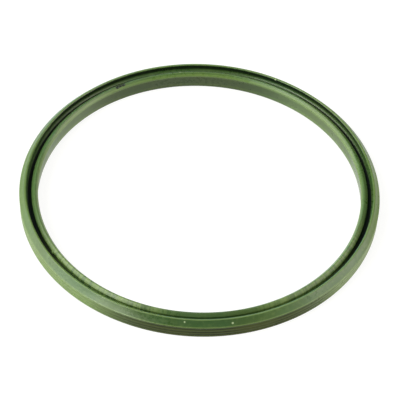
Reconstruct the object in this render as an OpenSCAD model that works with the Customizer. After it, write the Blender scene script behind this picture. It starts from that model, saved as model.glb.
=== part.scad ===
// Moulded rubber lip seal for a charge-air hose coupling, in millimetres.
// The ring lies flat with its lips up. The origin is on the axis, at the foot's plane.

/* [Ring] */
// Outside diameter over the outer sealing edge
ring_od = 70; // [55:0.5:110]
// Width of the section, from the inner bead to the outer sealing edge
section_w = 3.66; // [3.44:0.02:4.1]

/* [Foot] */
// How far the two walls stand back behind the sealing edge and the bead
wall_relief = 0.12; // [0.04:0.01:0.2]
// Fillet where each wall turns into the flat foot
foot_fillet_r = 0.32; // [0.1:0.02:0.9]

/* [Outer lip] */
// Height of the outer sealing edge above the foot
outer_edge_z = 2.72; // [2.2:0.02:3]
// Width of the narrow land on top of the outer sealing edge
land_w = 0.15; // [0.05:0.01:0.24]
// How far the land rises towards the lip's face
land_rise = 0.08; // [0.02:0.01:0.14]
// How far the outer crest's centre lies inside the outer sealing edge
outer_crest_in = 1.115; // [1.025:0.005:1.175]
// Height of the outer lip's crest above the foot
outer_crest_z = 3.93; // [3.85:0.02:4.6]
// Radius of the outer lip's rounded crest
outer_crest_r = 0.28; // [0.14:0.01:0.31]

/* [Inner lip] */
// Radius of the bead that the inner lip seals with
inner_bead_r = 0.25; // [0.16:0.01:0.4]
// Height of the bead's centre above the foot
inner_bead_z = 2.95; // [2.4:0.02:3.1]
// How far the inner crest's centre lies outside the inner bead's bore
inner_crest_in = 0.61; // [0.48:0.01:0.74]
// Height of the inner lip's crest above the foot
inner_crest_z = 3.63; // [3.45:0.02:4.2]
// Radius of the inner lip's rounded crest
inner_crest_r = 0.25; // [0.12:0.01:0.34]

/* [Groove] */
// Thickness of the outer lip at the undercut, from the sealing edge to the groove
lip_root_t = 1.2; // [1.1:0.01:1.3]
// Radius of the round, undercut groove
groove_r = 0.6; // [0.45:0.01:0.65]
// Height of the groove's floor above the foot
groove_floor_z = 2.35; // [1.6:0.02:2.4]
// Where the inner lip's shoulder meets the groove, counted up from the outer side
shoulder_angle = 165; // [145:1:180]

/* [Hidden] */
$fn = 180;

outer_r = ring_od / 2;
inner_r = outer_r - section_w;
outer_wall_r = outer_r - wall_relief;
inner_wall_r = inner_r + wall_relief;

// Centres of the rounds that the section is drawn from
outer_crest = [outer_r - outer_crest_in, outer_crest_z - outer_crest_r];
groove = [outer_r - lip_root_t - groove_r, groove_floor_z + groove_r];
inner_crest = [inner_r + inner_crest_in, inner_crest_z - inner_crest_r];
inner_bead = [inner_r + inner_bead_r, inner_bead_z];

land_end = [outer_r - land_w, outer_edge_z + land_rise];
shoulder = on_round(groove, groove_r, shoulder_angle);

// Directions in which the straight faces touch the rounds
outer_face = ray_angle(land_end, outer_crest, outer_crest_r);
outer_flank = cross_angle(outer_crest, outer_crest_r, groove, groove_r);
inner_slope = ray_angle(shoulder, inner_crest, inner_crest_r);
inner_face = belt_angle(inner_crest, inner_crest_r, inner_bead, inner_bead_r);

function direction(v) = atan2(v[1], v[0]);

function on_round(centre, r, angle) = centre + r * [cos(angle), sin(angle)];

// A face from a point, touching a round on top
function ray_angle(start, centre, r) =
    direction(start - centre) + acos(r / norm(start - centre));

// A flank from a lip's round to the hollow below it, passing between the two
function cross_angle(centre, r, hollow, hollow_r) =
    direction(hollow - centre) - acos((r + hollow_r) / norm(hollow - centre));

// A face that lies over two rounds, the first one further from the axis
function belt_angle(first, first_r, second, second_r) =
    direction(second - first) - asin((first_r - second_r) / norm(second - first)) - 90;

// Straight-sided form of the section: foot, walls, land, lip faces and flanks
module lip_blank() {
    polygon([
        [inner_wall_r, 0],
        [outer_wall_r, 0],
        [outer_wall_r, outer_edge_z - wall_relief],
        [outer_r, outer_edge_z],
        land_end,
        on_round(outer_crest, outer_crest_r, outer_face),
        outer_crest,
        on_round(outer_crest, outer_crest_r, outer_flank),
        on_round(groove, groove_r, outer_flank + 180),
        groove,
        shoulder,
        on_round(inner_crest, inner_crest_r, inner_slope),
        inner_crest,
        on_round(inner_crest, inner_crest_r, inner_face),
        on_round(inner_bead, inner_bead_r, inner_face),
        inner_bead,
        [inner_wall_r, inner_bead_z]
    ]);
}

// What a fillet takes off a foot corner. inward is the way from the wall into the section.
module foot_corner(wall_r, inward) {
    translate([wall_r, 0])
        difference() {
            square(2 * foot_fillet_r, center = true);
            translate([inward * foot_fillet_r, foot_fillet_r]) circle(foot_fillet_r);
        }
}

module lip_section() {
    difference() {
        union() {
            lip_blank();
            translate(outer_crest) circle(outer_crest_r);
            translate(inner_crest) circle(inner_crest_r);
            translate(inner_bead) circle(inner_bead_r);
        }
        translate(groove) circle(groove_r);
        foot_corner(outer_wall_r, -1);
        foot_corner(inner_wall_r, 1);
    }
}

module seal_ring() {
    color("darkolivegreen") rotate_extrude() lip_section();
}

seal_ring();
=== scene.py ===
"""Looks of a moulded rubber lip seal for a charge-air hose coupling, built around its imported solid."""

import logging
import math
from dataclasses import dataclass, field
from enum import Enum

import bmesh
import bpy
from mathutils import Matrix, Vector


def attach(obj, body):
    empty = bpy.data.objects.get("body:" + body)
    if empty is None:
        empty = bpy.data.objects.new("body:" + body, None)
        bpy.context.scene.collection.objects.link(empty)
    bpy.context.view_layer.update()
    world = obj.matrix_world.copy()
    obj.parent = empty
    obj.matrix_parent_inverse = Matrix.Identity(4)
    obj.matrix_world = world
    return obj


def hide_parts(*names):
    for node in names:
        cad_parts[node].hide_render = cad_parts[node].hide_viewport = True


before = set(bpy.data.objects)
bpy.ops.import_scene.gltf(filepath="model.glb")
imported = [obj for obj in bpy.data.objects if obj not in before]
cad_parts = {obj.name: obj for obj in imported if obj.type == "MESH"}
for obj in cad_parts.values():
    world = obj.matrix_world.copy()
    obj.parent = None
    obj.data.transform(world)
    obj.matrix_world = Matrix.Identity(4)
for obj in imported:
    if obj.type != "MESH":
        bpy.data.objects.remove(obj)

LOG = logging.getLogger("lip_seal")
MM = 0.001
MERGE_DISTANCE = 1e-7
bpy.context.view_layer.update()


def linear_rgb(hex_colour: str) -> tuple[float, float, float, float]:
    """Turns an sRGB hex colour into the linear colour that a shader takes.

    Args:
        hex_colour: Six hex digits, such as "5c6b3a".

    Returns:
        Linear red, green and blue, and an alpha of 1.
    """
    channels = [int(hex_colour[i:i + 2], 16) / 255 for i in (0, 2, 4)]
    linear = [c / 12.92 if c <= 0.04045 else ((c + 0.055) / 1.055) ** 2.4 for c in channels]
    return (*linear, 1.0)


def outward_from_axis(azimuth_deg: float) -> Vector:
    """Returns the level unit vector at a direction round the ring, with 0 along X and 90 along Y."""
    angle = math.radians(azimuth_deg)
    return Vector((math.cos(angle), math.sin(angle), 0))


def add_node(tree: bpy.types.NodeTree, kind: str, inputs: dict | None = None, **settings) -> bpy.types.Node:
    """Adds one shader node with its settings, values and incoming links.

    Args:
        tree: Node tree that takes the node.
        kind: Blender's name of the node's type.
        inputs: Input name or number to a plain value, or to the output socket that feeds it.
        **settings: Attributes of the node, such as operation.

    Returns:
        The new node.
    """
    node = tree.nodes.new(kind)
    for name, value in settings.items():
        setattr(node, name, value)
    for key, value in (inputs or {}).items():
        if isinstance(value, bpy.types.NodeSocket):
            tree.links.new(value, node.inputs[key])
        else:
            node.inputs[key].default_value = value
    return node


@dataclass(frozen=True)
class Zone:
    """Stretch of the section: its middle, its half sizes and the width of its soft edge, in millimetres."""

    radius: float
    half_width: float
    height: float
    half_height: float
    soft_width: float = 0.1
    soft_height: float = 0.1


@dataclass(frozen=True)
class Spot:
    """Small spot on the rubber, at a direction round the ring and a point of the section."""

    azimuth_deg: float
    radius_mm: float
    height_mm: float
    half_mm: float

    def centre(self) -> Vector:
        """Returns the spot's place in metres."""
        level = outward_from_axis(self.azimuth_deg) * self.radius_mm
        return (level + Vector((0, 0, self.height_mm))) * MM


@dataclass(frozen=True)
class Round:
    """Circle that a part of the section follows, in millimetres of radius and height."""

    centre: Vector
    radius: float

    def at(self, degrees: float) -> tuple[float, float]:
        """Returns the circle's point in that direction from its centre."""
        angle = math.radians(degrees)
        return tuple(self.centre + self.radius * Vector((math.cos(angle), math.sin(angle))))


class SectionPen:
    """Draws a ring's section as a chain of edges, radius along X and height along Z.

    Args:
        start: Radius and height of the first point, in millimetres.
    """

    def __init__(self, start: tuple[float, float]) -> None:
        """Starts the chain with its first point."""
        self.bm = bmesh.new()
        self.first = self.bm.verts.new((start[0] * MM, 0, start[1] * MM))
        self.tip = self.first

    def line_to(self, point: tuple[float, float]) -> bmesh.types.BMVert:
        """Draws a straight line.

        Args:
            point: Radius and height of the line's end, in millimetres.

        Returns:
            The vertex at the line's end.
        """
        made = bmesh.ops.extrude_vert_indiv(self.bm, verts=[self.tip])
        self.tip = made["verts"][0]
        self.tip.co = (point[0] * MM, 0, point[1] * MM)
        return self.tip

    def arc_about(self, centre: tuple[float, float], degrees: float, steps: int) -> bmesh.types.BMVert:
        """Draws a true arc from the tip.

        Args:
            centre: Radius and height of the arc's centre, in millimetres.
            degrees: Angle of the arc, above 0 where it runs anticlockwise.
            steps: Number of edges along the arc.

        Returns:
            The vertex at the arc's end.
        """
        made = bmesh.ops.spin(
            self.bm, geom=[self.tip], cent=(centre[0] * MM, 0, centre[1] * MM), axis=(0, -1, 0),
            angle=math.radians(degrees), steps=steps, use_merge=False, use_duplicate=False,
        )
        self.tip = next(item for item in made["geom_last"] if isinstance(item, bmesh.types.BMVert))
        return self.tip

    def close(self) -> None:
        """Joins the last point to the first."""
        self.bm.edges.new((self.tip, self.first))


class Grain(Enum):
    """Way in which a pattern of fine lines runs on the ring."""

    ROUND = "round"
    ACROSS = "across"


class RingMap:
    """Places patterns and masks on a ring: round its axis, and over its section.

    Args:
        tree: Node tree of the material.
    """

    def __init__(self, tree: bpy.types.NodeTree) -> None:
        """Reads the place on the ring from its Object coordinates."""
        self.tree = tree
        self.place = add_node(tree, "ShaderNodeTexCoord").outputs["Object"]
        self.height = add_node(tree, "ShaderNodeSeparateXYZ", {0: self.place}).outputs["Z"]
        level = add_node(tree, "ShaderNodeVectorMath", {0: self.place, 1: (1, 1, 0)},
                         operation="MULTIPLY").outputs[0]
        length = add_node(tree, "ShaderNodeVectorMath", {0: level}, operation="LENGTH")
        self.radius = length.outputs["Value"]
        self.outward = add_node(tree, "ShaderNodeVectorMath", {0: level}, operation="NORMALIZE").outputs[0]

    def blotches(self, size_mm: float, detail: float,
                 place: bpy.types.NodeSocket | None = None) -> bpy.types.NodeSocket:
        """Adds soft noise.

        Args:
            size_mm: Width of the blotches.
            detail: Number of finer layers in the noise.
            place: Place that the noise reads, or None for the Object coordinates.

        Returns:
            The noise, from 0 to 1.
        """
        return add_node(self.tree, "ShaderNodeTexNoise", {
            "Vector": place or self.place, "Scale": 1 / (size_mm * MM), "Detail": detail, "Roughness": 0.55,
        }).outputs["Fac"]

    def lines(self, grain: Grain, size_mm: float, ring_radius_mm: float) -> bpy.types.NodeSocket:
        """Adds noise that is drawn out into fine lines.

        Args:
            grain: Whether the lines run round the ring or across it.
            size_mm: Spacing of the lines.
            ring_radius_mm: Radius at which lines across the ring have that spacing.

        Returns:
            The lines, from 0 to 1.
        """
        if grain is Grain.ROUND:
            across = add_node(self.tree, "ShaderNodeCombineXYZ", {"X": self.radius, "Y": self.height})
            return self.blotches(size_mm, 1, across.outputs[0])
        along = add_node(self.tree, "ShaderNodeVectorMath", {0: self.outward, "Scale": ring_radius_mm * MM},
                         operation="SCALE")
        return self.blotches(size_mm, 2, along.outputs[0])

    def fade(self, value: bpy.types.NodeSocket, steps: tuple[float, float]) -> bpy.types.NodeSocket:
        """Adds a soft step.

        Args:
            value: Value that the step follows.
            steps: Value where the mask starts, and value where it is full.

        Returns:
            The mask, from 0 to 1.
        """
        return add_node(self.tree, "ShaderNodeMapRange", {
            "Value": value, "From Min": steps[0], "From Max": steps[1],
        }, interpolation_type="SMOOTHSTEP").outputs[0]

    def overlap(self, *masks: bpy.types.NodeSocket | float) -> bpy.types.NodeSocket:
        """Adds the overlap of masks, each a socket or a plain share.

        Args:
            *masks: The masks, the first of them a socket.

        Returns:
            The masks' product.
        """
        total = masks[0]
        for mask in masks[1:]:
            total = add_node(self.tree, "ShaderNodeMath", {0: total, 1: mask},
                             operation="MULTIPLY").outputs[0]
        return total

    def towards(self, azimuth_deg: float) -> bpy.types.NodeSocket:
        """Adds the cosine between the way outward and a direction round the ring."""
        return add_node(self.tree, "ShaderNodeVectorMath", {
            0: self.outward, 1: outward_from_axis(azimuth_deg),
        }, operation="DOT_PRODUCT").outputs["Value"]

    def both_ways(self, azimuth_deg: float) -> bpy.types.NodeSocket:
        """Adds the same cosine without its sign, so that it is 1 at that direction and on the far side."""
        return add_node(self.tree, "ShaderNodeMath", {0: self.towards(azimuth_deg)},
                        operation="ABSOLUTE").outputs[0]

    def near(self, value: bpy.types.NodeSocket, middle_mm: float, half_mm: float,
             soft_mm: float) -> bpy.types.NodeSocket:
        """Adds a mask that is 1 near a value.

        Args:
            value: Value in metres.
            middle_mm: Middle of the mask.
            half_mm: Distance from the middle to which the mask is full.
            soft_mm: Further distance over which it fades to 0.

        Returns:
            The mask, from 0 to 1.
        """
        offset = add_node(self.tree, "ShaderNodeMath", {0: value, 1: middle_mm * MM}, operation="SUBTRACT")
        distance = add_node(self.tree, "ShaderNodeMath", {0: offset.outputs[0]}, operation="ABSOLUTE")
        return self.fade(distance.outputs[0], ((half_mm + soft_mm) * MM, half_mm * MM))

    def zone(self, zone: Zone) -> bpy.types.NodeSocket:
        """Adds the mask of a stretch of the section."""
        return self.overlap(self.near(self.radius, zone.radius, zone.half_width, zone.soft_width),
                            self.near(self.height, zone.height, zone.half_height, zone.soft_height))

    def spot(self, spot: Spot, soft_mm: float) -> bpy.types.NodeSocket:
        """Adds the mask of a small round spot."""
        away = add_node(self.tree, "ShaderNodeVectorMath", {0: self.place, 1: spot.centre()},
                        operation="DISTANCE")
        return self.near(away.outputs["Value"], 0, spot.half_mm, soft_mm)

    def join(self, first: bpy.types.NodeSocket, second: bpy.types.NodeSocket) -> bpy.types.NodeSocket:
        """Adds the union of two masks."""
        return add_node(self.tree, "ShaderNodeMath", {0: first, 1: second}, operation="MAXIMUM").outputs[0]

    def total(self, *values: bpy.types.NodeSocket) -> bpy.types.NodeSocket:
        """Adds the sum of values.

        Args:
            *values: The values, two or more.

        Returns:
            Their sum.
        """
        total = values[0]
        for value in values[1:]:
            total = add_node(self.tree, "ShaderNodeMath", {0: total, 1: value}, operation="ADD").outputs[0]
        return total


class Paint:
    """Colour that is laid in coats, each over the ones before.

    Args:
        ring_map: Map of the ring, whose tree takes the coats.
        hex_colour: Colour of the ground.
    """

    def __init__(self, ring_map: RingMap, hex_colour: str) -> None:
        """Starts with the plain ground."""
        self.ring_map = ring_map
        self.colour = linear_rgb(hex_colour)

    def coat(self, hex_colour: str, *masks: bpy.types.NodeSocket | float) -> None:
        """Lays a coat where all the masks overlap.

        Args:
            hex_colour: Colour of the coat.
            *masks: Masks and plain shares, the first of them a mask.
        """
        # Sockets 6 and 7 of a colour Mix node are its two colours, and output 2 is their mix.
        self.colour = add_node(self.ring_map.tree, "ShaderNodeMix", {
            0: self.ring_map.overlap(*masks), 6: self.colour, 7: linear_rgb(hex_colour),
        }, data_type="RGBA").outputs[2]


@dataclass(frozen=True)
class MouldedFluoroelastomer:
    """Green fluoroelastomer, compression moulded in a turned steel mould.

    The filled rubber gives a deep green body under a dull waxy gloss. The mould's turning marks run round
    The mould's turning marks run round it as fine lines, handling leaves scuffs across it, and an oily,
    dusty olive film dulls its walls; the film is thickest at the front and back, where its darker colour is
    painted shade. Painted highlights lie along the edges, on the walls and the outer face at the sides, and
    in scuffed streaks on the inner lip.
    Painted shade darkens the front, the groove, the outer lip's flank at the back, the bore under the bead
    and the lines round the outer wall.

    A pair named steps holds the value at which a mask starts and the one at which it is full. A pair named
    reach holds the same as cosines round the ring.
    """

    body_hex: str = "435c2b"
    cool_hex: str = "3f5e32"
    # Colour of the dull film; where the film is thick, its darkness is painted shade.
    film_and_shade_hex: str = "424a20"
    # Pale colour of the random bloom and of the painted highlights.
    bloom_and_highlight_hex: str = "758c4e"
    shade_hex: str = "061410"
    fleck_hex: str = "b9c8a0"

    roughness: float = 0.32
    roughness_spread: float = 0.08
    ior: float = 1.54
    film_roughness: float = 0.6
    film_ior: float = 1.3

    # Turning marks and scuffs are finer on the real ring, and are drawn as coarse as the picture can show.
    turning_mm: float = 0.3
    scuff_mm: float = 0.6
    scuff_ring_mm: float = 33.0
    bump_mm: float = 0.012
    roughness_steps: tuple[float, float] = (0.3, 1.0)

    cloud_mm: float = 9.0
    cloud_steps: tuple[float, float] = (0.35, 0.65)
    bloom_mm: float = 0.7
    bloom_steps: tuple[float, float] = (0.45, 0.75)
    bloom_share: float = 0.2
    scuff_patch_mm: float = 14.0
    scuff_patch_steps: tuple[float, float] = (0.42, 0.56)

    # The film is thickest round this direction and the opposite one, where its darker colour is painted
    # shade.
    film_and_shade_azimuth_deg: float = 278.0
    film_and_shade_reach: tuple[float, float] = (0.7, 0.97)
    film_least: float = 0.1
    film_and_shade_more: float = 0.87
    film_on_bore: float = 0.55
    film_steps: tuple[float, float] = (0.1, 0.5)
    # Painted highlight on the walls at the sides, where the film is thin.
    side_highlight: float = 0.8

    front_azimuth_deg: float = 270.0
    # Painted shade over the front of the ring.
    front_shade_share: float = 0.3
    front_shade_reach: tuple[float, float] = (0.88, 1.0)
    # Painted highlight on the outer lip's face at the sides.
    face_highlight: float = 0.4
    face_highlight_reach: tuple[float, float] = (0.5, 0.1)

    # Painted highlights in scuffed streaks on the inner lip, at two stretches of the ring.
    highlight_streak_azimuths_deg: tuple[float, ...] = (234.0, 318.0)
    highlight_streak_share: float = 0.75
    highlight_streak_steps: tuple[float, float] = (0.35, 0.6)
    highlight_streak_reach: tuple[float, float] = (0.85, 0.97)

    # Painted shade on the outer lip's flank at the back.
    flank_shade: float = 0.9
    flank_reach: tuple[float, float] = (-0.1, -0.6)
    # Painted shade in the groove, fading out towards the front.
    groove_shade: float = 0.97
    groove_reach: tuple[float, float] = (0.85, 0.3)
    # Painted shade on the bore under the bead.
    bead_shade: float = 0.3
    # Painted shade in the lines round the outer wall.
    line_shade: float = 0.75
    line_shade_steps: tuple[float, float] = (0.3, 0.55)
    pip_shade: float = 0.95
    pip_soft_mm: float = 0.15
    fleck_share: float = 0.75
    flecks: tuple[Spot, ...] = (
        Spot(282, 34.53, 3.25, 0.13), Spot(272, 34.88, 2.2, 0.1), Spot(267, 34.31, 3.54, 0.1),
        Spot(98.9, 32.15, 3.54, 0.15), Spot(65, 33.64, 3.79, 0.1),
    )

    def material(self, seal: "LipSeal") -> bpy.types.Material:
        """Builds the rubber's material.

        Args:
            seal: The seal, whose section places the film, the painted highlights and the painted shade.

        Returns:
            A node material that reads Object coordinates.
        """
        material = bpy.data.materials.new("moulded_fluoroelastomer")
        material.use_nodes = True
        tree = material.node_tree
        tree.nodes.clear()
        ring_map = RingMap(tree)
        clouds = ring_map.blotches(self.cloud_mm, 2)
        bloom = ring_map.blotches(self.bloom_mm, 3)
        turning = ring_map.lines(Grain.ROUND, self.turning_mm, self.scuff_ring_mm)
        streaks = ring_map.lines(Grain.ACROSS, self.scuff_mm, self.scuff_ring_mm)
        patches = ring_map.fade(ring_map.blotches(self.scuff_patch_mm, 2), self.scuff_patch_steps)
        scuffs = ring_map.overlap(streaks, patches)
        walls = self.walls(ring_map, seal)
        shaded_ends = ring_map.fade(ring_map.both_ways(self.film_and_shade_azimuth_deg), self.film_and_shade_reach)
        front = ring_map.towards(self.front_azimuth_deg)
        groove = ring_map.overlap(ring_map.zone(seal.groove_bed()), ring_map.fade(front, self.groove_reach))

        rubber = Paint(ring_map, self.body_hex)
        rubber.coat(self.cool_hex, ring_map.fade(clouds, self.cloud_steps))
        rubber.coat(self.bloom_and_highlight_hex, ring_map.fade(bloom, self.bloom_steps), self.bloom_share)
        # Painted highlights and painted shade, laid over the rubber's own colour.
        self.lay_painted_light(rubber, seal, walls, shaded_ends, streaks)
        # Painted shade in the groove, in the rubber's colour here and in the film's colour below.
        rubber.coat(self.shade_hex, groove, self.groove_shade)
        # Colour of the dull film, thick and darker at the front and back as painted shade.
        dust_and_shade = Paint(ring_map, self.film_and_shade_hex)
        dust_and_shade.coat(self.shade_hex, groove)
        # Painted shade under the bead and in the lines, in both colours.
        for paint in (rubber, dust_and_shade):
            self.lay_painted_shade(paint, seal, shaded_ends, clouds)
        self.mark(rubber, seal)

        # The film's share: thin everywhere, and thick at the front and back, where it is painted shade.
        share = add_node(tree, "ShaderNodeMath", {0: shaded_ends, 1: self.film_and_shade_more, 2: self.film_least},
                         operation="MULTIPLY_ADD").outputs[0]
        film = ring_map.overlap(walls, share, ring_map.fade(turning, self.film_steps))
        # The groove takes the dull film too, so that its painted shade has no gloss.
        film = ring_map.join(film, groove)
        roughness = add_node(tree, "ShaderNodeMapRange", {
            "Value": ring_map.total(bloom, scuffs),
            "From Min": self.roughness_steps[0], "From Max": self.roughness_steps[1],
            "To Min": self.roughness - self.roughness_spread,
            "To Max": self.roughness + self.roughness_spread,
        }).outputs[0]
        relief = ring_map.total(turning, scuffs, bloom)
        bump = add_node(tree, "ShaderNodeBump", {"Distance": self.bump_mm * MM, "Height": relief})
        clean = add_node(tree, "ShaderNodeBsdfPrincipled", {
            "Base Color": rubber.colour, "Roughness": roughness, "IOR": self.ior,
            "Normal": bump.outputs["Normal"],
        })
        dull = add_node(tree, "ShaderNodeBsdfPrincipled", {
            "Base Color": dust_and_shade.colour, "Roughness": self.film_roughness, "IOR": self.film_ior,
            "Normal": bump.outputs["Normal"],
        })
        skin = add_node(tree, "ShaderNodeMixShader", {
            0: film, 1: clean.outputs["BSDF"], 2: dull.outputs["BSDF"],
        })
        add_node(tree, "ShaderNodeOutputMaterial", {"Surface": skin.outputs[0]})
        return material

    def walls(self, ring_map: RingMap, seal: "LipSeal") -> bpy.types.NodeSocket:
        """Adds the mask of both walls, weaker on the wall of the bore."""
        bore = ring_map.overlap(ring_map.zone(seal.bore_wall()), self.film_on_bore)
        return ring_map.total(ring_map.zone(seal.outer_wall()), bore)

    def lay_painted_light(self, rubber: Paint, seal: "LipSeal", walls: bpy.types.NodeSocket,
                        shaded_ends: bpy.types.NodeSocket, streaks: bpy.types.NodeSocket) -> None:
        """Lays painted light: highlights on the walls and the outer face at the sides, shade on the front,
        highlights in scuffed streaks on the inner lip and along the edges, and shade on the outer lip's
        flank at the back.

        Args:
            rubber: Colour of the rubber.
            seal: The seal, whose section places the coats.
            walls: Mask of both walls.
            shaded_ends: Mask of the two stretches of the ring where the film is thick and its darker colour
                is painted shade.
            streaks: Fine lines across the ring.
        """
        ring_map = rubber.ring_map
        # Painted highlight on the walls at the sides, where the film is thin.
        sides = add_node(ring_map.tree, "ShaderNodeMath", {
            0: shaded_ends, 1: -self.side_highlight, 2: self.side_highlight,
        }, operation="MULTIPLY_ADD")
        rubber.coat(self.bloom_and_highlight_hex, walls, sides.outputs[0])
        front = ring_map.towards(self.front_azimuth_deg)
        # Painted shade over the front of the ring.
        rubber.coat(self.shade_hex, ring_map.fade(front, self.front_shade_reach), self.front_shade_share)
        # Painted highlight on the outer lip's face at the sides.
        across = ring_map.fade(ring_map.both_ways(self.front_azimuth_deg), self.face_highlight_reach)
        rubber.coat(self.bloom_and_highlight_hex, ring_map.zone(seal.outer_face()), across, self.face_highlight)
        # Painted highlights in scuffed streaks on the inner lip's slope, at two stretches of the ring.
        slope = ring_map.zone(seal.inner_slope())
        hatch = ring_map.overlap(slope, ring_map.fade(streaks, self.highlight_streak_steps))
        for azimuth in self.highlight_streak_azimuths_deg:
            stretch = ring_map.fade(ring_map.towards(azimuth), self.highlight_streak_reach)
            rubber.coat(self.bloom_and_highlight_hex, hatch, stretch, self.highlight_streak_share)
        # Painted shade on the outer lip's flank at the back.
        flank = ring_map.zone(seal.outer_flank())
        rubber.coat(self.shade_hex, flank, ring_map.fade(front, self.flank_reach), self.flank_shade)
        # Painted highlights along the crests, the outer edge, the bead and the inner lip's slope.
        edges = [ring_map.overlap(ring_map.zone(zone), share) for zone, share in seal.highlight_edges()]
        edge_highlights = edges[0]
        for edge in edges[1:]:
            edge_highlights = ring_map.join(edge_highlights, edge)
        rubber.coat(self.bloom_and_highlight_hex, edge_highlights)

    def lay_painted_shade(self, paint: Paint, seal: "LipSeal", shaded_ends: bpy.types.NodeSocket,
              clouds: bpy.types.NodeSocket) -> None:
        """Lays painted shade under the bead and in the lines round the outer wall.

        Args:
            paint: Colour of the rubber or of its film.
            seal: The seal, whose section places the painted shade.
            shaded_ends: Mask of the two stretches of the ring where the film is thick and its darker colour
                is painted shade.
            clouds: Soft blotches that break the painted shade up.
        """
        ring_map = paint.ring_map
        # Painted shade on the bore under the bead.
        paint.coat(self.shade_hex, ring_map.zone(seal.under_bead()), self.bead_shade)
        # Painted shade in the lines round the outer wall, patchy and only where the film is thick.
        patchy = ring_map.overlap(shaded_ends, ring_map.fade(clouds, self.line_shade_steps))
        for line in seal.line_beds():
            paint.coat(self.shade_hex, ring_map.zone(line), patchy, self.line_shade)

    def mark(self, rubber: Paint, seal: "LipSeal") -> None:
        """Darkens the pips and lays the pale flecks.

        Args:
            rubber: Colour of the rubber.
            seal: The seal, which has the pips.
        """
        for pip in seal.pips:
            rubber.coat(self.shade_hex, rubber.ring_map.spot(pip, self.pip_soft_mm), self.pip_shade)
        for fleck in self.flecks:
            rubber.coat(self.fleck_hex, rubber.ring_map.spot(fleck, fleck.half_mm), self.fleck_share)


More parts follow.
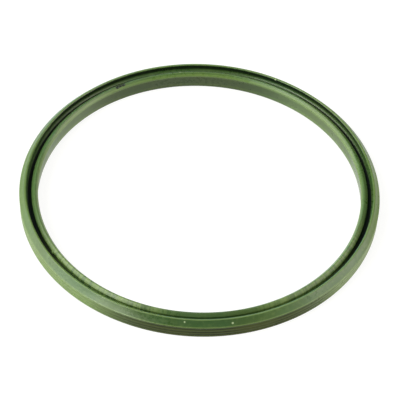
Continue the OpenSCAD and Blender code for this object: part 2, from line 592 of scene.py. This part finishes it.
@dataclass
class LipSeal:
    """The one moulded piece of the seal, with its section's sizes in millimetres."""

    outer_r: float = 35.0
    section_w: float = 3.66
    foot_fillet_r: float = 0.32
    outer_relief: float = 0.12
    outer_edge_z: float = 2.72
    land_w: float = 0.15
    land_rise: float = 0.08
    outer_crest_in: float = 1.115
    outer_crest_z: float = 3.929
    outer_crest_r: float = 0.28
    inner_relief: float = 0.12
    inner_bead_r: float = 0.25
    inner_bead_z: float = 2.95
    inner_crest_in: float = 0.61
    inner_crest_z: float = 3.63
    inner_crest_r: float = 0.25
    groove_in: float = 1.8
    groove_r: float = 0.6
    groove_floor_z: float = 2.35
    shoulder_deg: float = 165.0
    edge_break: float = 0.04
    edge_break_steps: int = 3
    tool_line_w: float = 0.3
    tool_line_d: float = 0.05
    tool_lines_z: tuple[float, ...] = (0.8, 1.4, 2.15)
    pips: tuple[Spot, ...] = (
        Spot(122.9, 31.85, 3.66, 0.34), Spot(121.7, 31.9, 3.66, 0.3), Spot(120.4, 31.9, 3.66, 0.34),
    )
    pip_stretch: float = 1.15
    pip_subdivisions: int = 3
    nib: Spot = Spot(213, 32.66, 3.05, 0.26)
    turns: int = 512
    fillet_steps: int = 6
    outer_crest_steps: int = 12
    groove_steps: int = 24
    inner_round_steps: int = 8
    sharp_deg: float = 30.0
    finish: MouldedFluoroelastomer = field(default_factory=MouldedFluoroelastomer)

    @property
    def inner_r(self) -> float:
        """Radius of the bore over the bead."""
        return self.outer_r - self.section_w

    @property
    def inner_lip_r(self) -> float:
        """Distance of the inner lip's crest from the ring's axis."""
        return self.inner_r + self.inner_crest_in

    def outer_wall(self) -> Zone:
        """Returns the outer wall under its edge."""
        return Zone(radius=self.outer_r, half_width=self.outer_relief + 0.05,
                    height=0, half_height=self.outer_edge_z - 0.12)

    def bore_wall(self) -> Zone:
        """Returns the wall of the bore, which fades over the bead."""
        return Zone(radius=self.inner_r, half_width=self.inner_relief + 0.05, soft_width=0.25,
                    height=0, half_height=self.inner_bead_z - 0.2, soft_height=0.4)

    def under_bead(self) -> Zone:
        """Returns the middle of the bore's wall, well under the bead."""
        return Zone(radius=self.inner_r, half_width=self.inner_relief + 0.05, soft_width=0.05,
                    height=self.inner_bead_z - 1.2, half_height=0.5, soft_height=0.5)

    def outer_face(self) -> Zone:
        """Returns the outer lip's sloping face."""
        return Zone(radius=self.outer_r - 0.45, half_width=0.4,
                    height=self.outer_edge_z + 0.55, half_height=0.45)

    def outer_flank(self) -> Zone:
        """Returns the outer lip's flank over the groove."""
        return Zone(radius=self.outer_r - self.outer_crest_in - self.outer_crest_r, half_width=0.15,
                    soft_width=0.15, height=self.outer_crest_z - 0.65, half_height=0.4, soft_height=0.2)

    def inner_slope(self) -> Zone:
        """Returns the inner lip's crest and the slope from it down to the groove."""
        return Zone(radius=self.inner_lip_r + 0.35, half_width=0.5, soft_width=0.15,
                    height=self.inner_crest_z - 0.45, half_height=0.5, soft_height=0.15)

    def groove_bed(self) -> Zone:
        """Returns the floor of the groove and the foot of both its sides."""
        return Zone(radius=self.outer_r - self.groove_in - self.groove_r * 0.45, half_width=0.37,
                    soft_width=0.17, height=self.groove_floor_z, half_height=0.35, soft_height=0.3)

    def line_beds(self) -> list[Zone]:
        """Returns the bottom of each line round the outer wall."""
        depth = self.outer_relief + self.tool_line_d + 0.02
        return [Zone(radius=self.outer_r, half_width=depth, soft_width=0.02,
                     height=line_z, half_height=self.tool_line_w * 0.2, soft_height=0.12)
                for line_z in self.tool_lines_z]

    def highlight_edges(self) -> list[tuple[Zone, float]]:
        """Lists the edges that take a painted highlight.

        Returns:
            Each edge's zone and how strong its painted highlight is: the outer crest, the outer edge, the
            bead, the inner crest and the middle of the inner lip's slope.
        """
        soft = 0.12
        return [
            (Zone(radius=self.outer_r - self.outer_crest_in, half_width=0.1, soft_width=soft,
                  height=self.outer_crest_z, half_height=0.06), 0.5),
            (Zone(radius=self.outer_r, half_width=0.1, soft_width=soft,
                  height=self.outer_edge_z, half_height=0.1), 0.45),
            (Zone(radius=self.inner_r, half_width=0.25, soft_width=soft,
                  height=self.inner_bead_z + 0.15, half_height=0.3), 0.5),
            (Zone(radius=self.inner_lip_r, half_width=0.2, soft_width=soft,
                  height=self.inner_crest_z, half_height=0.15), 0.15),
            (Zone(radius=self.inner_lip_r + 0.45, half_width=0.2, soft_width=soft,
                  height=self.inner_crest_z - 0.45, half_height=0.25), 0.1),
        ]

    def draw_section(self) -> bmesh.types.BMesh:
        """Draws the closed section of the ring.

        Returns:
            A bmesh that holds the section's edges.
        """
        outer_wall_r = self.outer_r - self.outer_relief
        inner_wall_r = self.inner_r + self.inner_relief
        land_end = Vector((self.outer_r - self.land_w, self.outer_edge_z + self.land_rise))
        outer_crest = self.crest(self.outer_r - self.outer_crest_in, self.outer_crest_z, self.outer_crest_r)
        groove_centre = Vector((self.outer_r - self.groove_in, self.groove_floor_z + self.groove_r))
        groove = Round(groove_centre, self.groove_r)
        inner_crest = self.crest(self.inner_lip_r, self.inner_crest_z, self.inner_crest_r)
        inner_bead = Round(Vector((self.inner_r + self.inner_bead_r, self.inner_bead_z)), self.inner_bead_r)
        outer_face = self.ray_angle(land_end, outer_crest)
        outer_flank = self.cross_angle(outer_crest, groove)
        inner_slope = self.ray_angle(Vector(groove.at(self.shoulder_deg)), inner_crest)
        inner_face = self.belt_angle(inner_crest, inner_bead)
        bead_foot = 180 + math.degrees(math.acos(1 - self.inner_relief / self.inner_bead_r))

        pen = SectionPen((outer_wall_r - self.foot_fillet_r, 0))
        pen.arc_about((outer_wall_r - self.foot_fillet_r, self.foot_fillet_r), 90, self.fillet_steps)
        for line_z in self.tool_lines_z:
            pen.line_to((outer_wall_r, line_z - self.tool_line_w / 2))
            pen.line_to((outer_wall_r - self.tool_line_d, line_z))
            pen.line_to((outer_wall_r, line_z + self.tool_line_w / 2))
        pen.line_to((outer_wall_r, self.outer_edge_z - self.outer_relief))
        outer_edge = pen.line_to((self.outer_r, self.outer_edge_z))
        pen.line_to(land_end)
        pen.line_to(outer_crest.at(outer_face))
        pen.arc_about(outer_crest.centre, outer_flank - outer_face, self.outer_crest_steps)
        pen.line_to(groove.at(outer_flank - 180))
        shoulder = pen.arc_about(groove.centre, self.shoulder_deg - 180 - outer_flank, self.groove_steps)
        pen.line_to(inner_crest.at(inner_slope))
        pen.arc_about(inner_crest.centre, inner_face - inner_slope, self.inner_round_steps)
        pen.line_to(inner_bead.at(inner_face))
        pen.arc_about(inner_bead.centre, bead_foot - inner_face, self.inner_round_steps)
        pen.line_to((inner_wall_r, self.foot_fillet_r))
        pen.arc_about((inner_wall_r + self.foot_fillet_r, self.foot_fillet_r), 90, self.fillet_steps)
        pen.close()
        bmesh.ops.bevel(
            pen.bm, geom=[shoulder, outer_edge], offset=self.edge_break * MM, offset_type="OFFSET",
            affect="VERTICES", segments=self.edge_break_steps, profile=0.5, material=-1,
        )
        return pen.bm

    def carve(self, ring: bpy.types.Object, spot: Spot, operation: str) -> None:
        """Sinks a small oval pip into the ring or raises a nib on it.

        Args:
            ring: The ring, whose mesh changes.
            spot: Where the pip or nib is.
            operation: DIFFERENCE for a pip and UNION for a nib.
        """
        bm = bmesh.new()
        bmesh.ops.create_icosphere(bm, subdivisions=self.pip_subdivisions, radius=spot.half_mm * MM)
        bmesh.ops.scale(bm, vec=(1, self.pip_stretch, 1), verts=bm.verts[:])
        turn = Matrix.Rotation(math.radians(spot.azimuth_deg), 3, "Z")
        bmesh.ops.rotate(bm, verts=bm.verts[:], matrix=turn)
        bmesh.ops.translate(bm, verts=bm.verts[:], vec=spot.centre())
        mesh = bpy.data.meshes.new("cutter")
        bm.to_mesh(mesh)
        bm.free()
        cutter = bpy.data.objects.new("cutter", mesh)
        bpy.context.scene.collection.objects.link(cutter)
        cut = ring.modifiers.new("cut", "BOOLEAN")
        cut.object, cut.operation, cut.solver = cutter, operation, "EXACT"
        depsgraph = bpy.context.evaluated_depsgraph_get()
        old = ring.data
        ring.data = bpy.data.meshes.new_from_object(ring.evaluated_get(depsgraph))
        ring.modifiers.remove(cut)
        bpy.data.objects.remove(cutter)
        bpy.data.meshes.remove(mesh)
        ring.data.name = old.name
        bpy.data.meshes.remove(old)

    @staticmethod
    def crest(distance: float, top_z: float, radius: float) -> Round:
        """Returns the round of a lip's crest, from its distance from the axis and the height of its top."""
        return Round(Vector((distance, top_z - radius)), radius)

    @staticmethod
    def ray_angle(start: Vector, crest: Round) -> float:
        """Finds where a straight face from a point touches a round on its outer side.

        Args:
            start: Radius and height of the face's start.
            crest: Round that the face runs up to.

        Returns:
            Direction of the touching point from the round's centre, in degrees.
        """
        back = start - crest.centre
        return math.degrees(math.atan2(back.y, back.x) + math.acos(crest.radius / back.length)) % 360

    @staticmethod
    def cross_angle(crest: Round, groove: Round) -> float:
        """Finds the straight flank that runs from the outer crest's round down to the groove's.

        Args:
            crest: Round of the outer lip's crest.
            groove: Round of the groove.

        Returns:
            Direction from the crest's centre in which the flank touches its round, in degrees.
        """
        span = groove.centre - crest.centre
        turn = math.acos((crest.radius + groove.radius) / span.length)
        return math.degrees(math.atan2(span.y, span.x) - turn) % 360

    @staticmethod
    def belt_angle(first: Round, second: Round) -> float:
        """Finds the straight face that lies over two rounds, the first one further from the axis.

        Args:
            first: Round at the face's start.
            second: Round at the face's end.

        Returns:
            Direction in which the face touches both rounds, in degrees.
        """
        span = second.centre - first.centre
        turn = math.asin((first.radius - second.radius) / span.length)
        return (math.degrees(math.atan2(span.y, span.x) - turn) - 90) % 360

    def build(self) -> bpy.types.Object:
        """Turns the section about the ring's axis and dresses the piece.

        Returns:
            The finished ring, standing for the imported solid.
        """
        bm = self.draw_section()
        bmesh.ops.spin(
            bm, geom=bm.verts[:] + bm.edges[:], cent=(0, 0, 0), axis=(0, 0, 1),
            angle=math.tau, steps=self.turns, use_merge=True, use_duplicate=False,
        )
        bmesh.ops.remove_doubles(bm, verts=bm.verts[:], dist=MERGE_DISTANCE)
        bmesh.ops.recalc_face_normals(bm, faces=bm.faces[:])
        mesh = bpy.data.meshes.new("moulded_ring")
        bm.to_mesh(mesh)
        bm.free()
        mesh.shade_smooth()
        mesh.set_sharp_from_angle(angle=math.radians(self.sharp_deg))
        mesh.materials.append(self.finish.material(self))
        ring = bpy.data.objects.new("moulded_ring", mesh)
        bpy.context.scene.collection.objects.link(ring)
        for pip in self.pips:
            self.carve(ring, pip, "DIFFERENCE")
        self.carve(ring, self.nib, "UNION")
        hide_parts("seal_ring")
        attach(ring, "root")
        return ring


@dataclass(frozen=True)
class SoftLight:
    """Rectangular soft lamp that faces the ring, with its sizes in metres."""

    azimuth_deg: float
    elevation_deg: float
    width: float
    height: float
    radiance: float
    hex_colour: str = "fffaee"


class Softbox(Enum):
    """Lamps of the studio. Azimuth 0 is to the right, 90 behind the ring, 180 to the left."""

    LEFT_LOW = SoftLight(180, 10, 1.0, 0.35, 3.7, "faffee")
    LEFT_HIGH = SoftLight(180, 41, 0.75, 0.75, 4.2, "faffee")
    FRONT_LEFT = SoftLight(218, 41, 0.35, 0.75, 6.2, "faffee")
    RIGHT_LOW = SoftLight(356, 10, 0.95, 0.35, 4.2)
    RIGHT_HIGH = SoftLight(357, 40, 0.7, 0.75, 2.8)
    BACK_RIM = SoftLight(104, 8, 0.6, 0.3, 6.0, "9fdcff")
    TOP = SoftLight(90, 80, 0.5, 0.5, 2.0)


@dataclass
class Studio:
    """Pale floor, soft lamps and a camera that looks down at the ring from the front."""

    lens_mm: float = 270.0
    sensor_mm: float = 36.0
    distance_mm: float = 584.4
    elevation_deg: float = 47.06
    roll_deg: float = 2.37
    aim_right_px: float = 0.7
    aim_up_px: float = 0.7
    image_px: int = 400
    clip_end: float = 10.0
    lamp_distance: float = 1.0
    floor_side: float = 4.0
    # The floor lies a hair below the foot, so that the two faces don't flicker.
    floor_drop_mm: float = 0.02
    floor_grey: float = 0.85
    seen_white: float = 0.86
    shadow_grey: float = 0.2
    world_strength: float = 0.05

    def add_camera(self) -> bpy.types.Object:
        """Places the camera.

        Returns:
            The camera, set as the scene's own.
        """
        elevation = math.radians(self.elevation_deg)
        back = Vector((0, -math.cos(elevation), math.sin(elevation)))
        right = Vector((1, 0, 0))
        up = back.cross(right)
        roll = Matrix.Rotation(math.radians(self.roll_deg), 3, back)
        right, up = roll @ right, roll @ up
        data = bpy.data.cameras.new("camera")
        data.lens = self.lens_mm
        data.sensor_width = self.sensor_mm
        data.clip_end = self.clip_end
        camera = bpy.data.objects.new("camera", data)
        px = self.sensor_mm / self.image_px / self.lens_mm * self.distance_mm * MM
        place = back * self.distance_mm * MM + right * self.aim_right_px * px + up * self.aim_up_px * px
        camera.matrix_world = Matrix.Translation(place) @ Matrix((right, up, back)).transposed().to_4x4()
        bpy.context.scene.collection.objects.link(camera)
        bpy.context.scene.camera = camera
        return camera

    def add_floor(self) -> bpy.types.Object:
        """Lays the floor.

        Returns:
            The floor.
        """
        bm = bmesh.new()
        bmesh.ops.create_grid(bm, x_segments=1, y_segments=1, size=self.floor_side / 2,
                              matrix=Matrix.Translation((0, 0, -self.floor_drop_mm * MM)))
        mesh = bpy.data.meshes.new("floor")
        bm.to_mesh(mesh)
        bm.free()
        mesh.materials.append(self.floor_paper())
        floor = bpy.data.objects.new("floor", mesh)
        bpy.context.scene.collection.objects.link(floor)
        return floor

    def floor_paper(self) -> bpy.types.Material:
        """Builds matt white paper, which is pure white to the eye and keeps a faint shadow.

        Returns:
            A material that glows for the camera and for gloss, and is plain pale paper to the other light.
        """
        material = bpy.data.materials.new("matt_white_paper")
        material.use_nodes = True
        tree = material.node_tree
        tree.nodes.clear()
        light_path = add_node(tree, "ShaderNodeLightPath").outputs
        seen = light_path["Is Camera Ray"]
        for kind_of_ray in ("Is Glossy Ray", "Is Transmission Ray"):
            seen = add_node(tree, "ShaderNodeMath", {0: seen, 1: light_path[kind_of_ray]},
                            operation="MAXIMUM").outputs[0]
        paper = add_node(tree, "ShaderNodeBsdfDiffuse", {"Color": (*[self.floor_grey] * 3, 1)})
        shadow = add_node(tree, "ShaderNodeBsdfDiffuse", {"Color": (*[self.shadow_grey] * 3, 1)})
        glow = add_node(tree, "ShaderNodeEmission", {"Color": (1, 1, 1, 1), "Strength": self.seen_white})
        white = add_node(tree, "ShaderNodeAddShader", {0: shadow.outputs[0], 1: glow.outputs[0]})
        look = add_node(tree, "ShaderNodeMixShader", {0: seen, 1: paper.outputs[0], 2: white.outputs[0]})
        add_node(tree, "ShaderNodeOutputMaterial", {"Surface": look.outputs[0]})
        return material

    def hang(self, softbox: Softbox) -> bpy.types.Object:
        """Hangs one lamp.

        Args:
            softbox: The lamp's place, size and brightness.

        Returns:
            The lamp, facing the ring.
        """
        light = softbox.value
        data = bpy.data.lights.new(softbox.name.lower(), "AREA")
        data.shape = "RECTANGLE"
        data.size, data.size_y = light.width, light.height
        data.color = linear_rgb(light.hex_colour)[:3]
        data.energy = light.radiance * math.pi * light.width * light.height
        lamp = bpy.data.objects.new(data.name, data)
        elevation = math.radians(light.elevation_deg)
        away = outward_from_axis(light.azimuth_deg) * math.cos(elevation)
        away.z = math.sin(elevation)
        lamp.location = away * self.lamp_distance
        lamp.rotation_euler = away.to_track_quat("Z", "Y").to_euler()
        bpy.context.scene.collection.objects.link(lamp)
        return lamp

    def add_world(self) -> None:
        """Sets the weak even light from all round."""
        world = bpy.data.worlds.new("surroundings")
        bpy.context.scene.world = world
        world.use_nodes = True
        background = world.node_tree.nodes["Background"]
        background.inputs["Color"].default_value = (1, 1, 1, 1)
        background.inputs["Strength"].default_value = self.world_strength

    def build(self) -> None:
        """Sets up the whole studio."""
        self.add_camera()
        self.add_floor()
        self.add_world()
        for softbox in Softbox:
            self.hang(softbox)
        bpy.context.scene.view_settings.view_transform = "Standard"


def main() -> None:
    """Builds the studio and the seal."""
    logging.basicConfig(level=logging.INFO, format="%(message)s")
    Studio().build()
    ring = LipSeal().build()
    LOG.info("%s: %d faces", ring.name, len(ring.data.polygons))


if __name__ == "__main__":
    main()
